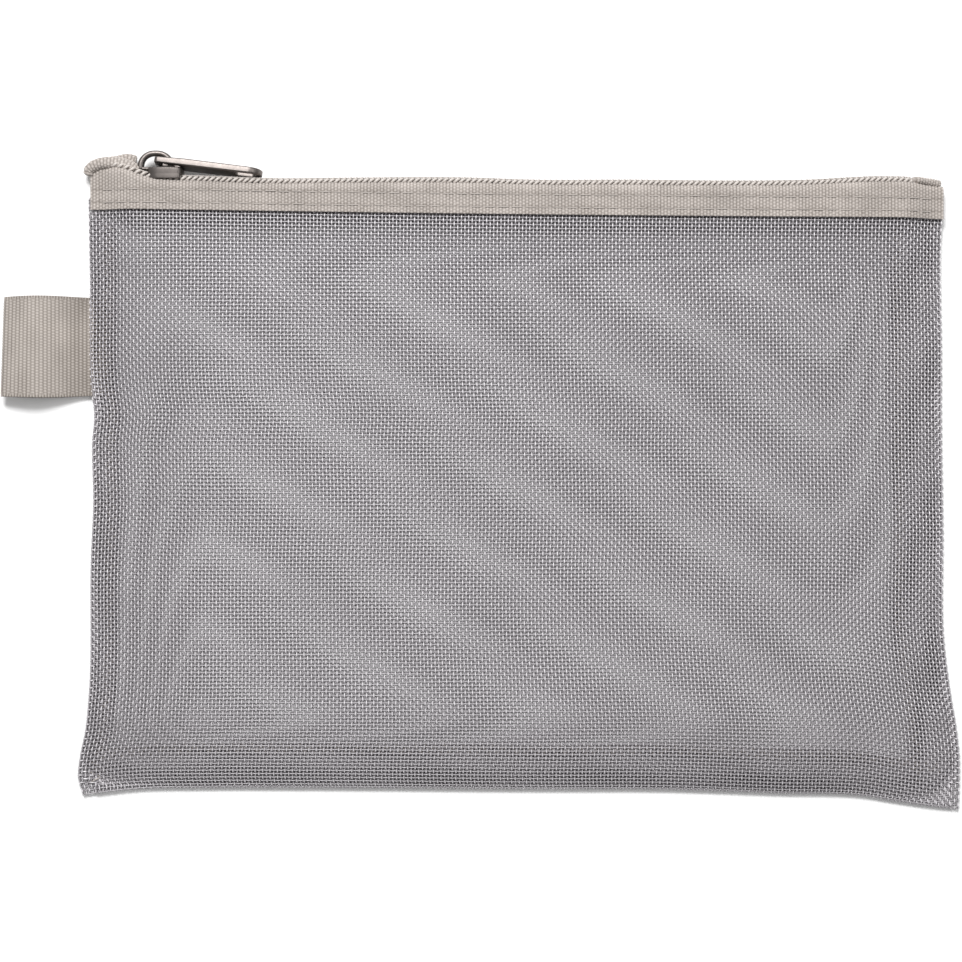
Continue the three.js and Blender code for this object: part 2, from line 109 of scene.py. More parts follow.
class Maker:
    """Collects vertices and faces, and makes one mesh of them, with a relief value at each vertex, from
    which its material paints shade.
    """

    def __init__(self):
        self.vertices = []
        self.relief = []
        self.faces = []
        self.smooth = []
        self.count = 0

    def add(self, vertices, faces, flat_faces=(), relief=0.5):
        vertices = np.asarray(vertices, float).reshape(-1, 3)
        self.vertices.append(vertices)
        self.relief.append(np.broadcast_to(np.ravel(relief), len(vertices)))
        for group, soft in [(g, True) for g in faces] + [(g, False) for g in flat_faces]:
            self.faces.append(np.asarray(group, np.int64) + self.count)
            self.smooth.append(np.full(len(group), soft))
        self.count += len(vertices)

    def piece(self, name, material):
        vertices = np.concatenate(self.vertices)
        loops = np.concatenate([f.ravel() for f in self.faces]).astype(np.int32)
        sizes = np.concatenate([np.full(len(f), f.shape[1]) for f in self.faces])
        starts = np.concatenate([[0], np.cumsum(sizes)[:-1]]).astype(np.int32)
        mesh = bpy.data.meshes.new(name)
        mesh.vertices.add(len(vertices))
        mesh.vertices.foreach_set("co", vertices.astype(np.float32).ravel())
        mesh.loops.add(len(loops))
        mesh.loops.foreach_set("vertex_index", loops)
        mesh.polygons.add(len(starts))
        mesh.polygons.foreach_set("loop_start", starts)
        mesh.polygons.foreach_set("use_smooth", np.concatenate(self.smooth))
        mesh.update(calc_edges=True)
        relief = mesh.attributes.new("relief", "FLOAT", "POINT")
        relief.data.foreach_set("value", np.concatenate(self.relief).astype(np.float32))
        mesh.materials.append(material)
        made = bpy.data.objects.new(name, mesh)
        bpy.context.scene.collection.objects.link(made)
        return made


def tubes(maker, points, up, radius, flat=1.0, sides=4, along=None, relief=0.5):
    """Round threads along points, an array of threads by places by 3.

    up has the same shape and is roughly square to the threads. relief is written on the piece for its
    material to
    turn into painted shade: 0 in a valley, 1 on a crown.
    """
    points = np.asarray(points, float)
    threads, places, _ = points.shape
    if along is None:
        along = unit(np.gradient(points, axis=1))
    side = unit(np.cross(along, up))
    up = unit(np.cross(side, along))
    turns = np.arange(sides) * math.tau / sides
    radius = np.broadcast_to(np.asarray(radius, float), (threads, places))[..., None, None]
    ring = points[:, :, None, :] + radius * (
        np.cos(turns)[:, None] * up[:, :, None, :] + flat * np.sin(turns)[:, None] * side[:, :, None, :]
    )
    first = (np.arange(threads) * places * sides)[:, None, None]
    place = np.arange(places - 1)[None, :, None]
    k = np.arange(sides)[None, None, :]
    a = first + place * sides + k
    b = first + place * sides + (k + 1) % sides
    quads = np.stack(np.broadcast_arrays(a, a + sides, b + sides, b), axis=-1).reshape(-1, 4)
    starts = first[:, 0, 0][:, None] + np.arange(sides)[None, :]
    ends = starts + (places - 1) * sides
    relief = np.repeat(np.broadcast_to(relief, (threads, places))[..., None], sides, axis=-1)
    maker.add(ring, [quads], [np.concatenate([starts, ends[:, ::-1]])], relief)


def slab(maker, top, bottom, relief=0.5):
    """A closed sheet from two grids of points with the same shape, top over bottom."""
    rows, columns, _ = top.shape
    index = np.arange(rows * columns).reshape(rows, columns)
    a, b = index[:-1, :-1], index[:-1, 1:]
    c, d = index[1:, 1:], index[1:, :-1]
    upper = np.stack([a, b, c, d], axis=-1).reshape(-1, 4)
    lower = np.stack([a, d, c, b], axis=-1).reshape(-1, 4) + rows * columns
    rim = np.concatenate([index[0, :-1], index[:-1, -1], index[-1, :0:-1], index[:0:-1, 0]])
    after = np.roll(rim, -1)
    wall = np.stack([rim, rim + rows * columns, after + rows * columns, after], axis=-1)
    relief = np.broadcast_to(relief, (rows, columns))
    maker.add(np.stack([top, bottom]), [upper, lower, wall], relief=np.stack([relief, relief]))


def fitted(piece, body, node):
    """Gives a piece the body that it rides on, and hides the frame's part for the node that it stands for.
    """
    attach(piece, body)
    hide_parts(node)


def facing(points, axis, sign=1.0):
    """For each point, a unit vector along one axis."""
    ways = np.zeros_like(points)
    ways[..., axis] = sign
    return ways


# ---------------------------------------------------------------- materials

# At full relief the mesh yarn shows this whole colour: a painted highlight on its crowns.
MESH_COLOUR = (0.9, 0.87, 0.895)
TAPE_COLOUR = (0.53, 0.48, 0.445)
LOOP_COLOUR = (0.53, 0.48, 0.44)
THREAD_COLOUR = (0.43, 0.39, 0.36)
COIL_COLOUR = (0.58, 0.535, 0.50)
METAL_COLOUR = (0.165, 0.147, 0.138)
FLOOR_COLOUR = (0.96, 0.96, 0.96)

# How much light is left at a relief of 0, in between and on a crown.
MESH_SHADE = [(0.0, (0.27, 0.26, 0.27)), (0.5, (0.48, 0.47, 0.48)), (1.0, (1, 1, 1))]
TAPE_SHADE = [(0.0, (0.34, 0.32, 0.30)), (0.5, (0.70, 0.69, 0.68)), (0.95, (1, 1, 1))]

def material(name, colour, roughness, metallic=0.0, sheen=0.0, ior=1.5):
    made = bpy.data.materials.new(name)
    made.use_nodes = True
    shader = made.node_tree.nodes["Principled BSDF"]
    shader.inputs["Base Color"].default_value = (*colour, 1)
    shader.inputs["Roughness"].default_value = roughness
    shader.inputs["Metallic"].default_value = metallic
    shader.inputs["Sheen Weight"].default_value = sheen
    shader.inputs["IOR"].default_value = ior
    return made, made.node_tree, shader


def noise(tree, scale, detail=3.0, rough=0.5):
    place = tree.nodes.new("ShaderNodeTexCoord")
    made = tree.nodes.new("ShaderNodeTexNoise")
    made.inputs["Scale"].default_value = scale
    made.inputs["Detail"].default_value = detail
    made.inputs["Roughness"].default_value = rough
    tree.links.new(place.outputs["Object"], made.inputs["Vector"])
    return made


def ramp(tree, source, stops):
    made = tree.nodes.new("ShaderNodeValToRGB")
    made.color_ramp.elements[0].position = stops[0][0]
    made.color_ramp.elements[0].color = (*stops[0][1], 1)
    made.color_ramp.elements[1].position = stops[-1][0]
    made.color_ramp.elements[1].color = (*stops[-1][1], 1)
    for position, colour in stops[1:-1]:
        made.color_ramp.elements.new(position).color = (*colour, 1)
    tree.links.new(source, made.inputs["Fac"])
    return made


def tinted(colour, by):
    return tuple(min(1.0, c * by) for c in colour)


def varied(tree, shader, colour, spread, scale, detail=3.0):
    """Base colour that wanders around one colour."""
    cloud = noise(tree, scale, detail)
    stops = [(0.3, tinted(colour, 1 - spread)), (0.5, colour), (0.7, tinted(colour, 1 + spread))]
    tree.links.new(ramp(tree, cloud.outputs["Fac"], stops).outputs["Color"], shader.inputs["Base Color"])
    return cloud


def rough_between(tree, shader, source, low, high):
    span = tree.nodes.new("ShaderNodeMapRange")
    span.inputs["To Min"].default_value = low
    span.inputs["To Max"].default_value = high
    tree.links.new(source, span.inputs["Value"])
    tree.links.new(span.outputs["Result"], shader.inputs["Roughness"])


def bumped(tree, shader, source, distance, strength=1.0):
    bump = tree.nodes.new("ShaderNodeBump")
    bump.inputs["Distance"].default_value = distance
    bump.inputs["Strength"].default_value = strength
    tree.links.new(source, bump.inputs["Height"])
    tree.links.new(bump.outputs["Normal"], shader.inputs["Normal"])


def times_relief(tree, shader, colour, stops):
    """Base colour from a colour source, times painted shade from the piece's own relief: darker in its
    valleys.
    """
    relief = tree.nodes.new("ShaderNodeAttribute")
    relief.attribute_name = "relief"
    both = tree.nodes.new("ShaderNodeMixRGB")
    both.blend_type = "MULTIPLY"
    both.inputs["Fac"].default_value = 1
    tree.links.new(colour, both.inputs["Color1"])
    tree.links.new(ramp(tree, relief.outputs["Fac"], stops).outputs["Color"], both.inputs["Color2"])
    tree.links.new(both.outputs["Color"], shader.inputs["Base Color"])


def mesh_yarn():
    """Glossy monofilament, with painted shade in its valleys and a painted highlight on its crowns."""
    made, tree, shader = material("mesh_yarn", MESH_COLOUR, 0.32, ior=2.0)
    cloud = noise(tree, 60, 2)
    tints = [(0.3, tinted(MESH_COLOUR, 0.96)), (0.7, tinted(MESH_COLOUR, 1.04))]
    times_relief(tree, shader, ramp(tree, cloud.outputs["Fac"], tints).outputs["Color"], MESH_SHADE)
    rough_between(tree, shader, cloud.outputs["Fac"], 0.3, 0.36)
    return made


def woven_tape(name, colour):
    """A ribbed, pebbly weave, with painted shade in its valleys read from the piece's relief values."""
    made, tree, shader = material(name, colour, 0.66, sheen=0.3)
    cloud = noise(tree, 90, 4)
    tints = [(0.3, tinted(colour, 0.92)), (0.7, tinted(colour, 1.08))]
    times_relief(tree, shader, ramp(tree, cloud.outputs["Fac"], tints).outputs["Color"], TAPE_SHADE)
    fibres = noise(tree, 5200, 4, 0.6)
    rough_between(tree, shader, fibres.outputs["Fac"], 0.45, 0.8)
    bumped(tree, shader, fibres.outputs["Fac"], 0.06 * MM, 0.7)
    return made


def sewing_thread():
    """Matt twisted thread."""
    made, tree, shader = material("sewing_thread", THREAD_COLOUR, 0.5, sheen=0.3)
    varied(tree, shader, THREAD_COLOUR, 0.06, 300, 2)
    ply = noise(tree, 6000, 2)
    rough_between(tree, shader, ply.outputs["Fac"], 0.45, 0.65)
    bumped(tree, shader, ply.outputs["Fac"], 0.03 * MM, 0.6)
    return made


def nylon_coil():
    """The smooth filament of the zip's coils."""
    made, tree, shader = material("nylon_coil", COIL_COLOUR, 0.38)
    cloud = varied(tree, shader, COIL_COLOUR, 0.05, 400, 2)
    rough_between(tree, shader, cloud.outputs["Fac"], 0.3, 0.48)
    return made


def gunmetal():
    """Dark plated metal with a fine grain."""
    made, tree, shader = material("gunmetal", METAL_COLOUR, 0.36, metallic=1.0)
    varied(tree, shader, METAL_COLOUR, 0.1, 700, 4)
    grain = noise(tree, 2600, 6, 0.65)
    rough_between(tree, shader, grain.outputs["Fac"], 0.3, 0.52)
    bumped(tree, shader, grain.outputs["Fac"], 0.02 * MM, 0.5)
    return made


MESH_YARN = mesh_yarn()
TAPE_CLOTH = woven_tape("zip_tape_cloth", TAPE_COLOUR)
LOOP_CLOTH = woven_tape("ribbon_cloth", LOOP_COLOUR)
THREAD = sewing_thread()
NYLON = nylon_coil()
METAL = gunmetal()


# ---------------------------------------------------------------- the pouch's shape

FRONT_LOW, FRONT_HIGH = (np.array(c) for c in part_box("front_panel"))
TAPE_LOW, TAPE_HIGH = (np.array(c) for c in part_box("front_zipper_tape"))
BACK_TAPE_LOW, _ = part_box("back_zipper_tape")
_, COIL_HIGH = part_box("front_coil")

LEFT = FRONT_LOW[0]
RIGHT = FRONT_HIGH[0]
BOTTOM = FRONT_LOW[1]

# Each seam as (distance along it, how far it lies inside the box), in mm.
LEFT_SEAM = through([(0, 0.9), (3.6, 0.8), (8, -0.4), (13, 0.0), (20, 1.4), (28, 2.2), (63, 2.8), (78, 3.4),
                     (92, 3.1), (100, 3.6), (104, 3.1), (135, 2.6), (152, 2.4)])
RIGHT_SEAM = through([(0, 0.3), (7, 0), (14, 0.05), (21, 0.8), (28, 2.0), (43, 3.9), (70, 4.1), (98, 4.5),
                      (118, 4.5), (141, 4.9), (152, 4.4)])
BOTTOM_SEAM = through([(0, 3.4), (14, 5.0), (34, 5.5), (56, 5.5), (121, 5.1), (144, 5.1), (176, 4.1),
                       (198, 3.3), (205, 2.1), (213, 0.9), (221, 0.0)])
TAPE_EDGE_LEFT, TAPE_EDGE_RIGHT = 71.4 * MM, 69.05 * MM
TAPE_COVERS = 3.2 * MM

SEAM_HEIGHT = 1.15 * MM
BELLY = FRONT_HIGH[2] - 0.4 * MM
SIDE_REACH = 34 * MM  # how far from a side seam the front has risen to its full height
BOTTOM_REACH = 23 * MM
RISE_POWER = 2.2
SAG = 0.5 * MM
ZIP_MIDDLE = (BACK_TAPE_LOW[2] + TAPE_HIGH[2]) / 2
ZIP_DEPTH = TAPE_HIGH[2] - ZIP_MIDDLE
ZIP_END_DEPTH = 1.5 * MM
TAPER_IN = 12 * MM
TAPE_END = TAPE_HIGH[0]
RIDGE = TAPE_HIGH[1]
CLOTH = 0.55 * MM
UNDER_TAPE = CLOTH + 0.45 * MM  # from a tape's outer face in to the middle of the mesh that it covers
BACK_REST = 0.36 * MM  # the back mesh's middle over the ground


def left_seam(y):
    return LEFT + LEFT_SEAM((y - BOTTOM) / MM) * MM


def right_seam(y):
    return RIGHT - RIGHT_SEAM((y - BOTTOM) / MM) * MM


def bottom_seam(x):
    return BOTTOM + BOTTOM_SEAM((x - LEFT) / MM) * MM


def tape_edge(x):
    """The visible lower edge of the zip tape."""
    t = (np.asarray(x) - TAPE_LOW[0]) / (TAPE_HIGH[0] - TAPE_LOW[0])
    return mix(TAPE_EDGE_LEFT, TAPE_EDGE_RIGHT, t) - 0.35 * MM * np.sin(np.pi * t)


def zip_depth(x):
    pinch = smooth(np.abs(x), TAPE_END - TAPER_IN, TAPE_END)
    return mix(ZIP_DEPTH, ZIP_END_DEPTH, pinch)


def zip_middle(x):
    return BACK_TAPE_LOW[2] + zip_depth(x)


def cloth_place(across, up):
    """A place on either panel from 0 to 1 along both edges, and its distances to the seams."""
    low = bottom_seam(mix(LEFT + 1.5 * MM, RIGHT - 0.1 * MM, across))
    high = tape_edge(mix(TAPE_LOW[0], TAPE_HIGH[0], across)) + TAPE_COVERS
    y = mix(low, high, up)
    left, right = left_seam(y), right_seam(y)
    x = mix(left, right, across)
    return x, y, x - left, right - x, y - low


def rise(distance, reach):
    return 1 - (1 - np.clip(distance / reach, 0, 1)) ** RISE_POWER


def front_height(across, up):
    """The front mesh: it swells from its seams, follows the zip and puckers along the sides."""
    x, y, from_left, from_right, from_bottom = cloth_place(across, up)
    full = rise(from_left, SIDE_REACH) * rise(from_right, SIDE_REACH) * rise(from_bottom, BOTTOM_REACH)
    z = SEAM_HEIGHT + (BELLY - SEAM_HEIGHT) * full
    z = z - SAG * full * (0.5 + 0.5 * wave(x, y, 3, 0.075))
    at_zip = zip_middle(x) + zip_depth(x) - UNDER_TAPE
    z = mix(z, at_zip, smooth(y, 40 * MM, tape_edge(x) - 0.5 * MM))
    from_side = np.minimum(from_left, from_right)
    pucker = 0.35 * MM * np.exp(-from_side / (11 * MM)) * smooth(from_side, 0, 4 * MM)
    return x, y, z + pucker * np.sin(y / (2.3 * MM) + 1.3 * np.sin(y / (9 * MM)))


def back_height(across, up):
    """The back mesh: flat on the ground, and lifted to the seams and to the zip."""
    x, y, from_left, from_right, from_bottom = cloth_place(across, up)
    seam = np.exp(-np.minimum(np.minimum(from_left, from_right), from_bottom) / (1.2 * MM))
    z = BACK_REST + 0.35 * MM * seam
    lift = BACK_TAPE_LOW[2] + UNDER_TAPE - BACK_REST
    return x, y, z + lift * smooth(y, tape_edge(x) - 9 * MM, tape_edge(x) - 0.8 * MM)


# ---------------------------------------------------------------- woven mesh

PITCH = 0.905 * MM
YARN = 0.168 * MM
WARP_SWING = 0.20 * MM  # how far the yarns along Y swing to either side of the cloth's middle
WEFT_SWING = 0.11 * MM  # and the yarns along X
FLATTENED = 1.06  # a yarn's width over its height
MESH_INSET = 2.5 * MM  # the mesh's outermost yarns, in from the seams' box
PANEL_PARTS = 6
BACK_STRAIN = 0.047
STRAIN_WAY = (0.65, 1.15)  # how much of the strain comes from places across and up


def normals(grid):
    return unit(np.cross(np.gradient(grid, axis=0), np.gradient(grid, axis=1)))


def halved(rows):
    """The same threads with a place added halfway between each two."""
    full = np.empty((rows.shape[0], 2 * rows.shape[1] - 1, rows.shape[2]))
    full[:, ::2] = rows
    full[:, 1::2] = (rows[:, 1:] + rows[:, :-1]) / 2
    return full


def woven(maker, grid, up, cuts=None, over=0):
    """Plain weave through a grid of crossings. cuts is the first and last column of the part made."""
    columns, rows, _ = grid.shape
    first, last = cuts or (0, columns - 1)
    turn = (((np.arange(columns)[:, None] + np.arange(rows)[None, :] + over) % 2) * 2.0 - 1)[..., None]
    warps = slice(first, last + (last == columns - 1))
    warp = halved((grid + turn * WARP_SWING * up)[warps])
    crown = halved(turn[warps])[..., 0]
    # Painted light from the relief values: the warps' crowns get a painted highlight, and the wefts stay
    # low even on their crowns, painted shade that keeps them darker than the warps.
    tubes(maker, warp, halved(up[warps]), YARN * (1 + 0.1 * crown), flat=FLATTENED,
          relief=0.5 + 0.5 * crown)
    part = slice(max(first - 1, 0), last + 2)
    weft = (grid - turn * WEFT_SWING * up).transpose(1, 0, 2)
    weft_way = unit(np.gradient(weft, axis=1))
    weft_crown = -turn[..., 0].T
    # Where a part is cut, its wefts dive into the same yarns of the next part, so that no cut shows.
    column = np.arange(columns)
    thick = np.where((column < first) | (column > last), 0.8, 1.0) * YARN
    tubes(maker, weft[:, part], up.transpose(1, 0, 2)[:, part], np.tile(thick[part], (rows, 1)),
          flat=FLATTENED, along=weft_way[:, part], relief=0.18 + 0.18 * weft_crown[:, part])


def biased(across, up, strain):
    """Pulls the weave along one diagonal by a share of its length, less and less towards the seams."""
    wide, tall = RIGHT - LEFT, TAPE_EDGE_RIGHT - BOTTOM
    hold = 1.0
    for share in (across, 1 - across, up, 1 - up):
        hold = hold * smooth(share, 0, 0.16)
    shift = strain * hold * (STRAIN_WAY[0] * (across - 0.5) * wide + STRAIN_WAY[1] * (up - 0.5) * tall)
    return across + shift / wide, up + shift / tall


def panel(name, height, node, parts, strain=0.0):
    """One mesh panel, made as a few side by side pieces so that each stays light."""
    across = (np.arange(COLUMNS) + 0.3) / (COLUMNS - 0.4)
    up = (np.arange(ROWS) + 0.3) / (ROWS - 0.4)
    places = biased(*np.meshgrid(across, up, indexing="ij"), strain)
    x, y, z = height(*places)
    grid = np.stack([x, y, z], axis=-1)
    outward_way = normals(grid)
    cuts = np.linspace(0, COLUMNS - 1, parts + 1).round().astype(int)
    for number, (first, last) in enumerate(zip(cuts[:-1], cuts[1:])):
        maker = Maker()
        woven(maker, grid, outward_way, (first, last))
        piece = maker.piece(f"{name}_{number + 1}", MESH_YARN)
        fitted(piece, "pouch", node)


COLUMNS = int(round((RIGHT - LEFT - 2 * MESH_INSET) / PITCH))
ROWS = int(round((TAPE_EDGE_RIGHT + TAPE_COVERS - BOTTOM - 2 * MESH_INSET) / PITCH))
panel("front_mesh", front_height, "front_panel", PANEL_PARTS)
panel("back_mesh", back_height, "back_panel", PANEL_PARTS, strain=BACK_STRAIN)

LEFT_ALLOWANCE, RIGHT_ALLOWANCE, BOTTOM_ALLOWANCE = 5.4 * MM, 11.8 * MM, 10.6 * MM
ALLOWANCE_HEIGHT = 1.0 * MM
PLY = 0.62 * MM


def turned_in(name, node, place, length, width, floor):
    """A turned-in allowance: two plies of the mesh. place(t, s, ply) gives X and Y, with s inwards."""
    rows = int(length / PITCH)
    columns = max(4, int(width / PITCH))
    t, s = np.meshgrid(np.linspace(0, 1, rows), np.linspace(0, 1, columns), indexing="ij")
    maker = Maker()
    for ply in range(2):
        x, y = place(t, s, ply)
        z = floor + ply * PLY + 0.08 * MM * wave(x, y, 5 + ply, 0.03)
        grid = np.stack([x, y, z], axis=-1)
        woven(maker, grid, facing(grid, 2), over=ply)
    piece = maker.piece(name, MESH_YARN)
    fitted(piece, "pouch", node)


def side_allowance(name, node, seam, inward, width, shift):
    """shift is how much further in the upper ply reaches."""
    def place(t, s, ply):
        y = mix(bottom_seam(0.0) + 1.5 * MM, tape_edge(0.0) - 1 * MM, t)
        x = seam(y) + inward * (0.5 * MM + s * (width + ply * shift))
        return x, y + ply * 0.31 * MM
    length = tape_edge(0.0) - bottom_seam(0.0) - 2.5 * MM
    turned_in(name, node, place, length, width, ALLOWANCE_HEIGHT)


def bottom_allowance(name, node, width):
    start, end = LEFT + 4 * MM, RIGHT - 3 * MM

    def place(t, s, ply):
        x = mix(start, end, t)
        return x + ply * 0.27 * MM, bottom_seam(x) + 0.5 * MM + s * (width - ply * 0.4 * MM)
    turned_in(name, node, place, end - start, width, ALLOWANCE_HEIGHT - 0.05 * MM)


side_allowance("left_allowance_mesh", "left_seam_allowance", left_seam, 1, LEFT_ALLOWANCE, 0.5 * MM)
side_allowance("right_allowance_mesh", "right_seam_allowance", right_seam, -1, RIGHT_ALLOWANCE, 0.7 * MM)
bottom_allowance("bottom_allowance_mesh", "bottom_seam_allowance", BOTTOM_ALLOWANCE)

OVERLOCK_STITCH = 2.4 * MM
OVERLOCK_WIDTH = 2.6 * MM
OVERLOCK_HEIGHT = 1.95 * MM
BEYOND_EDGE = 0.6 * MM  # how far the binding stitches reach over the allowances' raw edges


def overlock(name, node, place, length):
    """The binding stitches over a raw edge: one thread that zigzags along it."""
    stitches = int(length / OVERLOCK_STITCH)
    turn = np.linspace(0, stitches, stitches * 8 + 1)
    t = turn / stitches
    swing = np.abs((turn * 2) % 2 - 1)
    maker = Maker()
    x, y = place(t, swing * OVERLOCK_WIDTH)
    z = OVERLOCK_HEIGHT + 0.12 * MM * np.sin(turn * math.tau)
    points = np.stack([x, y, z], axis=-1)[None]
    tubes(maker, points, facing(points, 2), 0.14 * MM, sides=6)
    fitted(maker.piece(name, THREAD), "pouch", node)


def side_overlock(name, node, seam, inward, width):
    length = tape_edge(0.0) - bottom_seam(0.0) - 4 * MM

    def place(t, out):
        y = mix(bottom_seam(0.0) + 2 * MM, tape_edge(0.0) - 2 * MM, t)
        return seam(y) + inward * (width - out), y
    overlock(name, node, place, length)


side_overlock("left_overlock", "left_seam_thread", left_seam, 1, LEFT_ALLOWANCE + BEYOND_EDGE)
side_overlock("right_overlock", "right_seam_thread", right_seam, -1, RIGHT_ALLOWANCE + BEYOND_EDGE)


def bottom_place(t, out):
    x = mix(LEFT + 6 * MM, RIGHT - 5 * MM, t)
    return x, bottom_seam(x) + BOTTOM_ALLOWANCE + BEYOND_EDGE - out


overlock("bottom_overlock", "bottom_seam_thread", bottom_place, RIGHT - LEFT - 11 * MM)


# ---------------------------------------------------------------- zip tapes

TAPE_RIB = 0.82 * MM
TAPE_DOT = 0.84 * MM
STITCH_ROWS = (1.75 * MM, 4.9 * MM)
STITCH = 3.4 * MM
STITCH_GAP = 0.06  # share of a stitch
TOPSTITCH_RADIUS = 0.16 * MM
BEND = 1.6 * MM
TAPE_GRID = (1603, 82)  # places along the zip and around the tape
TAPE_PARTS = 3

# How far the fold over the zip lies above the frame's ridge, as (place along X, height), both in mm.
RIDGE_LINE = through([(-107, 3.0), (-104, 4.1), (-100.5, 4.1), (-97, 3.1), (-94, 1.9), (-91, 1.0),
                      (-87, 0.65), (-80, 0.4), (-59, -0.3), (-42, -0.15), (-9, -0.2), (0, -0.55),
                      (30, -0.65), (50, -0.85), (71, -0.7), (91, 0.2), (99, 0.0), (107, -0.9)])


def ridge(x):
    return RIDGE + RIDGE_LINE(np.asarray(x) / MM) * MM


def tape_path(x, s, side, lift):
    """A point of the tape at x: s runs from 0 at its lower edge to 1 by the coil."""
    depth, middle, top, low = zip_depth(x), zip_middle(x), ridge(x), tape_edge(x)
    bend = np.minimum(BEND, depth - 0.6 * MM)
    wall = top - bend - low
    arc = bend * math.pi / 2
    flat = np.maximum(depth - bend - 0.45 * MM, 0.05 * MM)
    run = s * (wall + arc + flat)
    turn = np.clip((run - wall) / bend, 0, math.pi / 2)
    past = np.clip(run - wall - arc, 0, None)
    y = low + np.minimum(run, wall) + (bend + lift) * np.sin(turn)
    z = depth - bend + (bend + lift) * np.cos(turn) - past
    return y, middle + side * z, run


def zip_tape(name, node, side):
    """One tape of the zip, in three lengths, with a ribbed and pebbly outer face."""
    columns, rows = TAPE_GRID
    xs = np.linspace(TAPE_LOW[0], TAPE_HIGH[0], columns)
    x, s = np.meshgrid(xs, np.linspace(0, 1, rows), indexing="ij")
    _, _, run = tape_path(x, s, side, 0.0)
    rib = np.abs(np.cos(np.pi * x / TAPE_RIB)) ** 0.8
    dot = 0.5 + 0.5 * np.cos(math.tau * run / TAPE_DOT + np.pi * np.floor(x / TAPE_RIB + 0.5))
    weave = rib * (0.45 + 0.55 * dot)
    sewn = sum(np.exp(-((run - row) / (0.3 * MM)) ** 2) for row in STITCH_ROWS)
    fine = wave(x, run, 13, 0.0016) * wave(x, run, 14, 0.0024)
    lift = MM * (0.2 * weave + 0.08 * fine - 0.1 * sewn + 0.12 * wave(x, run * 3, 11, 0.03) - 0.05)
    # Painted shade, with random tone on top: darker in the weave's valleys and along the stitch rows'
    # grooves.
    shade_and_tone = np.clip(weave * (1 - 0.4 * sewn) + 0.12 * wave(x, run * 2, 12, 0.012) + 0.45 * fine, 0, 1)
    faces = []
    for offset in (lift, -CLOTH - 0.4 * lift):
        y, z, _ = tape_path(x, s, side, offset)
        faces.append(np.stack([x, y, z], axis=-1)[::side])
    cuts = np.linspace(0, columns - 1, TAPE_PARTS + 1).astype(int)
    for number, (first, last) in enumerate(zip(cuts[:-1], cuts[1:])):
        part = slice(first, last + 1)
        maker = Maker()
        slab(maker, faces[0][part], faces[1][part], shade_and_tone[::side][part])
        fitted(maker.piece(f"{name}_{number + 1}", TAPE_CLOTH), "pouch", node)


zip_tape("front_tape", "front_zipper_tape", 1)
zip_tape("back_tape", "back_zipper_tape", -1)


def stitch_row(name, node, side, row):
    """Single lockstitches that dip into the tape at both ends."""
    start, end = TAPE_LOW[0] + 3 * MM, TAPE_HIGH[0] - 3 * MM
    count = int((end - start) / STITCH)
    places = 9
    t = np.linspace(-0.5, 0.5, places)[None, :]
    centre = start + (np.arange(count)[:, None] + 0.5) * (end - start) / count
    x = centre + t * STITCH * (1 - STITCH_GAP)
    dip = np.abs(t * 2) ** 6
    y = tape_edge(x) + row + 0.05 * MM * np.sin(centre * 900)
    z = zip_middle(x) + side * (zip_depth(x) + 0.06 * MM - 0.42 * MM * dip)
    points = np.stack([x, y, z], axis=-1)
    maker = Maker()
    tubes(maker, points, facing(points, 2, side), TOPSTITCH_RADIUS * (1 - 0.25 * dip), sides=6)
    fitted(maker.piece(name, THREAD), "pouch", node)


for face, side in (("front", 1), ("back", -1)):
    stitch_row(f"{face}_stitches_lower", f"{face}_topstitch_lower", side, STITCH_ROWS[0])
    stitch_row(f"{face}_stitches_upper", f"{face}_topstitch_upper", side, STITCH_ROWS[1])


# ---------------------------------------------------------------- zip chain

COIL_PITCH = 1.42 * MM
COIL_WIRE = 0.33 * MM
COIL_RISE = 0.62 * MM
COIL_FROM_MIDDLE = 0.12 * MM
COIL_LEFT = TAPE_LOW[0] - 0.6 * MM
COIL_RIGHT = COIL_HIGH[0]


def chain_line(x):
    """Middle height of the coils along the zip."""
    drop = 1.6 * MM * smooth(-x, -(COIL_LEFT + 3 * MM), -COIL_LEFT)
    return ridge(x) + 0.55 * MM - drop


def coil_half(x):
    """Half of one coil's width along Z."""
    return np.minimum(1.22 * MM, (zip_depth(x) - 0.4 * MM) / 2)


def coil(name, node, side):
    """One coil: a flattened helix whose turns lean along the zip."""
    turns = int((COIL_RIGHT - COIL_LEFT) / COIL_PITCH)
    steps = 16
    phase = np.arange(turns * steps + 1) / steps + (0.5 if side < 0 else 0.0)
    x = COIL_LEFT + phase * COIL_PITCH
    turn = phase * math.tau
    wide = coil_half(x)
    across = np.sign(np.cos(turn)) * np.abs(np.cos(turn)) ** 0.65
    height = np.sign(np.sin(turn)) * np.abs(np.sin(turn)) ** 0.75
    z = zip_middle(x) + side * (wide + COIL_FROM_MIDDLE + across * wide)
    y = chain_line(x) + height * (COIL_RISE - COIL_WIRE * 0.6)
    points = np.stack([x + 0.28 * COIL_PITCH * np.sin(turn), y, z], axis=-1)[None]
    maker = Maker()
    tubes(maker, points, facing(points, 0), COIL_WIRE, sides=6)
    fitted(maker.piece(name, NYLON), "pouch", node)


def coil_filler(name, node, side):
    """The cord inside a coil: two plies twisted together."""
    x = np.linspace(COIL_LEFT + 0.5 * MM, COIL_RIGHT - 0.5 * MM, 700)
    maker = Maker()
    for ply in range(2):
        turn = x / (1.1 * MM) * math.pi + ply * math.pi
        wide = coil_half(x)
        z = zip_middle(x) + side * (wide + COIL_FROM_MIDDLE) + 0.16 * MM * np.cos(turn)
        y = chain_line(x) + 0.13 * MM * np.sin(turn)
        points = np.stack([x, y, z], axis=-1)[None]
        tubes(maker, points, facing(points, 1), 0.15 * MM, sides=6)
    fitted(maker.piece(name, THREAD), "pouch", node)


